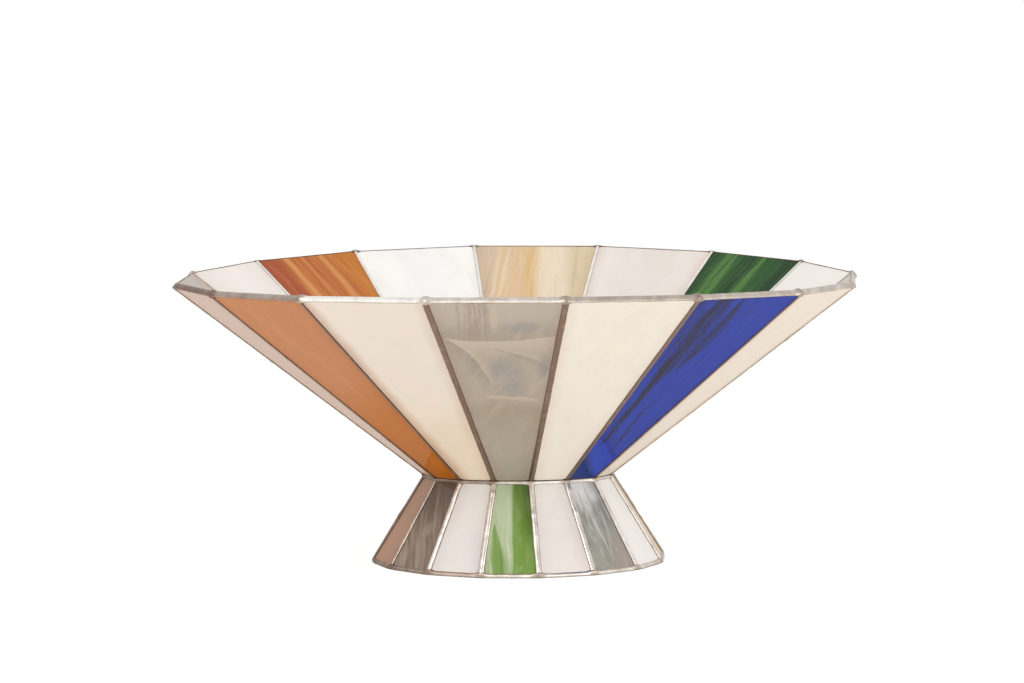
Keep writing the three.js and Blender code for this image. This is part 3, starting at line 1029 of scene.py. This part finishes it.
BEIGE_MARKS = [
    (strands(5.0, 0.44, 0.64, stretch=0.06, lean=-0.1, seed=1.0), BEIGE_OLIVE, 0.5),
    (streak((12.5, 190), (16.5, 140), (23, 96), 2.0, 0.95), BEIGE_WISP, 0.45),
    (streak((20, 184), (21, 142), (26, 100), 2.2, 0.95), BEIGE_WISP, 0.4),
    (streak((24, 190), (25, 146), (29, 100), 1.4, 0.9), BEIGE_DARK, 0.45),
    (streak((-24, 220), (-22, 140), (-12, 0), 1.6, 0.9), BEIGE_DARK, 0.35),
    (strands(2.4, 0.5, 0.7, stretch=0.08, lean=-0.1, seed=5.0), BEIGE_WISP, 0.4),
    (strands(2.0, 0.54, 0.7, stretch=0.08, lean=-0.05, seed=8.0), BEIGE_DARK, 0.25),
]
GREEN_BANDS = [
    (-35, GREEN_DARK), (-23, GREEN_DARK), (-19, GREEN_MID), (-11, GREEN_MID), (-6, GREEN_LIGHT),
    (-2, GREEN_MID), (1, GREEN_DARK), (5, GREEN_DARK), (10, GREEN_MID), (14, GREEN_LIGHT),
    (20, GREEN_LIGHT), (24, GREEN_MID), (30, GREEN_DARK),
]
GREEN_MARKS = [
    (strands(3.4, 0.42, 0.6, stretch=0.06, lean=-0.12, seed=1.0), GREEN_MID, 0.6),
    (strands(2.4, 0.48, 0.64, stretch=0.07, lean=-0.12, seed=2.0), GREEN_DARK, 0.6),
    (streak((-12, 196), (-5.2, 144), (2, 70), 2.2, 0.9), GREEN_LIGHT, 0.8),
    (strands(1.4, 0.52, 0.7, stretch=0.07, lean=-0.15, seed=7.0), GREEN_LIGHT, 0.5),
]
ORANGE_MARKS = [
    (beyond(1, 72, -62, 22), AMBER, 0.97),
    (streak((-26, 170), (-8, 128), (3, 66), 9.0, 0.95), ORANGE_LIGHT, 0.4),
    (both(beyond(0, 104, 90, 30), strands(7.0, 0.44, 0.66, lean=0.3)), ORANGE_LIGHT, 0.4),
]
BOWL_LOOKS = {
    1: glass(spread(GREY, GREY), marks=GREY_MARKS, fine=0.03, warp=3.5),
    # Pane 2's lower part is painted lighter: painted light from the table below.
    2: cream(CREAM, CREAM_WARM, CREAM, seam_tint=(0.25, 0.15), marks=CREAM_MARKS + [
        (beyond(0, 50, -90, 40), rgb(255, 252, 244), 0.8)]),
    3: glass(spread(COBALT, COBALT), marks=BLUE_MARKS, fine=0.2, clear=0.2, gloss=0.3, warp=4.0,
             seam_tint=(0.1, 0.1)),
    4: cream(rgb(243, 232, 223), rgb(241, 231, 222), rgb(243, 232, 223)),
    5: glass(spread(TAUPE, GREY_LIGHT, TAUPE), marks=[(strands(4.0, 0.45, 0.62), GREY_LINE, 0.5)]),
    6: cream(WHITE, WHITE, WHITE, seam_tint=(0.0, 0.0), marks=[]),
    7: glass(GREEN_BANDS, marks=GREEN_MARKS, fine=0.3, clear=0.2, gloss=0.3, warp=5.0,
             seam_tint=(0.1, 0.1)),
    8: cream(rgb(238, 230, 224), rgb(234, 227, 221), rgb(242, 235, 230), clouds=0.09),
    9: glass(BEIGE_BANDS, marks=BEIGE_MARKS, fine=0.05, warp=4.0),
    10: cream(WHITE, CREAM_COOL, WHITE, seam_tint=(0.1, 0.1)),
    11: glass(spread(RUST, RUST), marks=RUST_MARKS, fine=0.14, warp=4.0, seam_tint=(0.1, 0.1)),
    12: cream(CREAM_SHADE, CREAM_PINK, CREAM_SHADE, seam_tint=(0.15, 0.15)),
    13: glass(spread(TAUPE, GREY, TAUPE), marks=[(strands(4.0, 0.45, 0.62), GREY_LINE, 0.4)]),
    # Pane 14 faces left and down, into the shade on that side: its cream is painted darker and pinker
    # with that shade, most at the top, and its lower part lighter.
    14: cream(rgb(200, 170, 160), rgb(204, 174, 163), rgb(200, 168, 157), seam_tint=(0.2, 0.2),
              marks=[(beyond(0, 44, -90, 30), rgb(224, 198, 188), 0.7)]),
    15: glass(spread(ORANGE, ORANGE), marks=ORANGE_MARKS, fine=0.04, gloss=0.36, seam_tint=(0.2, 0.3)),
    # Pane 16: the strong tint on its left edge is painted shade, and its lower part is painted lighter
    # and warmer, for the warm light from the table below.
    16: cream(CREAM_PINK, rgb(246, 238, 233), CREAM_PINK, seam_tint=(0.9, 0.35), marks=CREAM_MARKS + [
        (beyond(0, 60, -90, 44), rgb(255, 241, 221), 0.8),
        (streak((-5.4, 131.2), (-5.6, 129.9), (-5.7, 128.6), 0.26, 0.5), rgb(168, 150, 134), 0.4)]),
}
LEAF = rgb(114, 154, 64)
LEAF_LOW = rgb(126, 158, 76)
LEAF_DARK = rgb(48, 70, 30)
LEAF_WISP = rgb(196, 210, 180)
FOOT_GREY = rgb(160, 160, 150)
FOOT_GREY_DARK = rgb(122, 122, 114)
FOOT_WISP = rgb(226, 228, 226)
FOOT_BROWN = rgb(126, 110, 97)
FOOT_BROWN_DARK = rgb(96, 80, 66)
FOOT_BROWN_LIGHT = rgb(172, 158, 148)

LEAF_MARKS = [
    (beyond(0.2, 30, 180, 1.2), LEAF_WISP, 0.9),
    (strands(5.0, 0.42, 0.62, stretch=0.3, seed=11.0), LEAF_WISP, 0.18),
    (beyond(0, 12, -90, 12), LEAF_LOW, 0.4),
    (streak((-2, -45), (-6.2, 4), (-8.8, 29), 6.6, 0.8), LEAF, 0.85),
    (streak((-14, 34), (-10.8, 9), (-6.6, -14), 1.3, 0.9), LEAF_WISP, 0.85),
    (streak((-1.2, -16), (-4.4, 6), (-6.4, 24), 1.2, 0.9), LEAF_DARK, 0.25),
    (streak((-2.4, 76), (-1.2, 32), (1.6, 0), 2.4, 0.85), LEAF_WISP, 0.7),
    (streak((-2.6, 30), (-1.2, 14), (2.2, -8), 1.0, 0.9), WHITE, 0.3),
    # Painted shade down the pane's right side, fading out towards its low end.
    (both(beyond(7.0, 30, 13, 7.0), beyond(0, 14, 90, 22)), LEAF_DARK, 0.8),
    (strands(3.0, 0.46, 0.66, stretch=0.2, lean=-0.1, seed=14.0), LEAF_LOW, 0.25),
    (patch(5.6, 3.4, 0.3, 0.45, 0.4), WHITE, 0.7),
]
FOOT_GREY_MARKS = [
    (strands(7.0, 0.4, 0.62, stretch=0.3, seed=6.0), FOOT_GREY_DARK, 0.5),
    (patch(-3.0, 50, 14, 23, 0.95), WHITE, 1.0),
    (both(patch(-4, 38, 10, 26), strands(2.6, 0.4, 0.62, stretch=0.2, seed=3.0)), FOOT_WISP, 0.6),
    (patch(3.5, 41, 4.5, 6, 0.9), FOOT_WISP, 0.6),
    (strands(2.6, 0.48, 0.68, stretch=0.2, lean=0.1, seed=5.0), FOOT_WISP, 0.35),
    (streak((-7.5, 54), (-2.5, 30), (1.5, 4), 1.6, 0.95), FOOT_WISP, 0.3),
    (streak((4.5, 36), (4.5, 24), (0.5, 4), 1.6, 0.95), FOOT_WISP, 0.25),
    (streak((-5, 46), (-5, 30), (-2.5, 16), 1.5, 0.95), FOOT_GREY_DARK, 0.35),
    (streak((1.0, 50), (0.8, 34), (4, 18), 1.5, 0.95), FOOT_GREY_DARK, 0.35),
    (beyond(9, 20, -30, 7.0), FOOT_BROWN_LIGHT, 0.6),
]
FOOT_BROWN_MARKS = [
    (beyond(2, 30, 75, 16), FOOT_BROWN_DARK, 0.9),
    (both(beyond(0, 34, -115, 22), strands(3.0, 0.42, 0.6, stretch=0.12, lean=-0.5, seed=2.0)),
     FOOT_BROWN_LIGHT, 0.55),
    (streak((-15, 22), (-8, 7), (-1, -7), 1.7, 0.9), FOOT_BROWN_LIGHT, 0.6),
    (streak((-7, 22), (1, 7), (9, -5), 1.5, 0.9), FOOT_BROWN_LIGHT, 0.6),
    (streak((-4, 46), (1.5, 32), (9, 18), 1.3, 0.95), FOOT_BROWN_LIGHT, 0.35),
    (streak((-10, 40), (-6, 26), (1, 8), 1.3, 0.95), FOOT_BROWN_LIGHT, 0.3),
    (patch(1.5, 23, 7, 7, 0.95), FOOT_BROWN_LIGHT, 0.5),
    (patch(-9, 6, 6, 8, 0.95), FOOT_BROWN_LIGHT, 0.5),
]


def foot_glass(*tints, **more):
    bands = spread(*tints, half=HALF_FOOT)
    return glass(bands, **{"warp": 3.0, "seam_tint": (0.1, 0.1), **more})


def foot_cream(*tints, **more):
    return cream(*tints, **{"half": HALF_FOOT, "seam_tint": (0.12, 0.12), **more})


FOOT_LOOKS = {
    1: foot_glass(LEAF, LEAF, marks=LEAF_MARKS, fine=0.04, warp=1.6),
    2: foot_cream(rgb(234, 228, 226), rgb(236, 231, 228), rgb(232, 225, 222), clouds=0.1),
    3: foot_glass(FOOT_GREY, FOOT_GREY, marks=FOOT_GREY_MARKS, fine=0.06, warp=5.0),
    4: foot_cream(WHITE, WHITE, WHITE),
    5: foot_glass(BEIGE, BEIGE_GREY, BEIGE, marks=[(strands(3.0, 0.45, 0.6), BEIGE_WISP, 0.6)]),
    6: foot_cream(CREAM, CREAM_WARM, CREAM),
    7: foot_glass(GREEN_DARK, GREEN_MID, GREEN_DARK, marks=GREEN_MARKS[:1], fine=0.25),
    8: foot_cream(CREAM, CREAM_COOL, CREAM),
    9: foot_glass(FOOT_BROWN, FOOT_BROWN, marks=FOOT_BROWN_MARKS, fine=0.1),
    10: foot_cream(CREAM_COOL, CREAM, CREAM_PINK),
    11: foot_glass(BEIGE, BEIGE_AMBER, BEIGE, marks=[(strands(3.0, 0.45, 0.6), BEIGE_WISP, 0.6)]),
    12: foot_cream(CREAM, CREAM_PINK, CREAM),
    13: foot_glass(LEAF, LEAF, LEAF_DARK, marks=[(strands(3.0, 0.45, 0.6), LEAF_WISP, 0.6)]),
    # Foot pane 14 faces left, into the shade on that side, and that shade is painted into its taupe.
    14: foot_glass(rgb(184, 148, 124), rgb(176, 140, 116), fine=0.03),
    15: foot_glass(FOOT_BROWN, FOOT_BROWN, marks=FOOT_BROWN_MARKS, fine=0.05, warp=2.0),
    16: foot_cream(rgb(232, 230, 232), rgb(236, 236, 236), rgb(230, 228, 232), clouds=0.1),
}
FLOOR_LOOK = cream(CREAM, CREAM_COOL, CREAM, seam_tint=(0.0, 0.0))


def finish_pane(pane, look, seed, vertices, faces):
    material = glass_material(f"{pane.node}_glass", pane, look, seed)
    piece = new_piece(f"{pane.node}_streaky", vertices, faces, material, pane.matrix())
    finish_piece(piece, [pane.node])


def make_pane(pane, look, seed):
    columns = max(4, round(2 * pane.top_half_width / MM / PANE_CELL))
    rows = max(6, round(pane.height / MM / PANE_CELL))
    vertices, faces = slab(pane.outline, columns, rows, pane.thickness, seed)
    finish_pane(pane, look, seed, vertices, faces)


def make_floor():
    """The floor pane, a slab with as many sides as the bowl, in rings round its middle."""
    count = len(FLOOR.outline)
    vertices, faces = [], []
    for depth, seed in ((0.0, 60.5), (-FLOOR.thickness, 77.5)):
        first = len(vertices)
        vertices.append((0, 0, depth + roll(0, 0, seed)))
        for step in range(1, FLOOR_RINGS + 1):
            for x, y in FLOOR.outline:
                px, py = x * step / FLOOR_RINGS, y * step / FLOOR_RINGS
                vertices.append((px, py, depth + roll(px, py, seed)))
        for i in range(count):
            j = (i + 1) % count
            faces.append((first, first + 1 + i, first + 1 + j))
            for step in range(FLOOR_RINGS - 1):
                inner, outer = first + 1 + step * count, first + 1 + (step + 1) * count
                faces.append((inner + i, outer + i, outer + j, inner + j))
    half = len(vertices) // 2
    faces = [face if max(face) < half else tuple(reversed(face)) for face in faces]
    rim = 1 + (FLOOR_RINGS - 1) * count
    for i in range(count):
        j = (i + 1) % count
        faces.append((rim + j, rim + i, half + rim + i, half + rim + j))
    finish_pane(FLOOR, FLOOR_LOOK, 2 * SIDES + 1, vertices, faces)


for number, pane in BOWL.items():
    make_pane(pane, BOWL_LOOKS[number], number)
for number, pane in FOOT.items():
    make_pane(pane, FOOT_LOOKS[number], SIDES + number)
make_floor()


def side_tones(usual, others):
    return {n: others.get(n, usual) for n in NUMBERS}


for number in NUMBERS:
    slim = SLIM_SEAMS.get(number, 1.0)
    tone = (BRIGHT_BOWL_SEAMS.get(number, BOWL_SEAM_PAINTED_SHADE[0]), BOWL_SEAM_PAINTED_SHADE[1])
    sizes = {**BOWL_SEAM, "outer": BOWL_SEAM["outer"] * slim}
    seam = seam_piece(f"bowl_seam_{number:02d}_solder", BOWL, number,
                      (WAIST_CORNERS[number], RIM_CORNERS[number]), sizes, SEAM_TAPER * slim,
                      (SEAM_CLEAR, SEAM_CLEAR), tone)
    finish_piece(seam, [f"bowl_seam_{number:02d}"])
    tone = (SHADED_FOOT_SEAMS.get(number, FOOT_SEAM_PAINTED_SHADE[0]), FOOT_SEAM_PAINTED_SHADE[1])
    seam = seam_piece(f"foot_seam_{number:02d}_solder", FOOT, number,
                      (GROUND_CORNERS[number], WAIST_CORNERS[number]), FOOT_SEAM, 0.0,
                      (GROUND_CLEAR, SEAM_CLEAR), tone)
    finish_piece(seam, [])

rim = ring_piece("rim_solder", RIM_CORNERS, sloping_side, rim_section, BLOB_LENGTH, SMALL_BLOBS,
                 side_tones(RIM_USUAL, RIM_PAINTED_SHADE), RIM_GIRTH)
finish_piece(rim, ["rim_bead"])
waist = ring_piece("waist_solder", WAIST_CORNERS, level_side, waist_section, WAIST_BLOB_LENGTH, {},
                   side_tones(WAIST_USUAL, WAIST_PAINTED_SHADE), {})
finish_piece(waist, ["waist_bead"])
foot_ring = ring_piece("foot_solder", GROUND_CORNERS, level_side, foot_section, FOOT_BLOB_LENGTH, {},
                       side_tones(FOOT_USUAL, FOOT_PAINTED_SHADE), {})
finish_piece(foot_ring, ["foot_lattice"])


# ---- stage, light and camera ----

STAGE_HALF = 25.0  # metres


def stage_plane(name, height, material):
    corners = [(-1, -1), (1, -1), (1, 1), (-1, 1)]
    vertices = [(x * STAGE_HALF, y * STAGE_HALF, height) for x, y in corners]
    plane = new_piece(name, vertices, [(0, 1, 2, 3)], material)
    return plane


def glowing(name, glow, strength, matt):
    """A matt surface that also gives light."""
    g = Graph(bpy.data.materials.new(name))
    light = g.add("Emission", {"Color": (*glow, 1), "Strength": strength})
    body = g.add("BsdfDiffuse", {"Color": (*matt, 1)})
    return g.finish(g.add("AddShader", {0: light, 1: body}))


# The camera sees pale ground that stays bright, with a faint shadow round the foot. The bowl sees a
# warm table just below it, which lights it from below and shows in its reflections.
pale = glowing("pale_floor", (1, 1, 1), 0.94, (0.1, 0.098, 0.095))
ground = stage_plane("floor", -0.0001, pale)
ground.visible_diffuse = ground.visible_glossy = ground.visible_transmission = False
ground.visible_shadow = False
warm = glowing("warm_table", (0.44, 0.41, 0.36), 1.0, (0.57, 0.54, 0.5))
table = stage_plane("table", -0.0005, warm)
table.visible_camera = False


def make_world():
    g = Graph(bpy.data.worlds.new("studio"))
    way = g.add("TexCoord").outputs["Generated"]
    side, _, height = g.axes(way)
    left = g.smooth_range(side, -0.85, 0.25, 1.0, 0.0)
    bright = g.mix(left, (1.0, 0.99, 0.97, 1), (0.55, 0.44, 0.37, 1))
    sky = g.smooth_range(height, 0.1, 0.5)
    colour = g.mix(sky, bright, (1.0, 0.99, 0.98, 1))
    back = g.add("Background", {"Color": colour, "Strength": 0.85})
    bpy.context.scene.world = g.finish(back, "OutputWorld")


def soft_box(name, place, aim, width, height, power, colour):
    light = bpy.data.lights.new(name, "AREA")
    light.shape = "RECTANGLE"
    light.size, light.size_y = width, height
    light.energy = power
    light.color = colour
    lamp = bpy.data.objects.new(name, light)
    lamp.location = place
    lamp.rotation_euler = (Vector(place) - Vector(aim)).to_track_quat("Z", "Y").to_euler()
    bpy.context.scene.collection.objects.link(lamp)


make_world()
TOP = CAD_BOX[1].z
soft_box("key", (-0.9, -1.6, 1.5), (0, 0, TOP / 2), 1.0, 0.7, 14, (1.0, 0.98, 0.95))
soft_box("fill", (1.8, -1.2, 0.9), (0, 0, TOP / 2), 1.2, 1.0, 10, (1.0, 0.99, 0.97))

CAMERA_DISTANCE = 2.82
CAMERA_ELEVATION = math.radians(5.26)
CAMERA_ROLL = math.radians(0.338)
CAMERA_LENS = 189.6
AIM = Vector((-0.0028, 0.0, TOP - 0.0399))


def make_camera():
    tilt = CAMERA_ELEVATION
    back = Vector((0, -math.cos(tilt), math.sin(tilt)))
    right, up = Vector((1, 0, 0)), Vector((0, math.sin(tilt), math.cos(tilt)))
    turned_right = right * math.cos(CAMERA_ROLL) - up * math.sin(CAMERA_ROLL)
    turned_up = right * math.sin(CAMERA_ROLL) + up * math.cos(CAMERA_ROLL)
    placed = Matrix((turned_right, turned_up, back)).transposed().to_4x4()
    placed.translation = AIM + back * CAMERA_DISTANCE
    camera = bpy.data.cameras.new("camera")
    camera.lens = CAMERA_LENS
    camera.sensor_width = 36.0
    camera.clip_end = 100.0
    holder = bpy.data.objects.new("camera", camera)
    holder.matrix_world = placed
    bpy.context.scene.collection.objects.link(holder)
    bpy.context.scene.camera = holder


make_camera()
bpy.context.scene.view_settings.view_transform = "Standard"
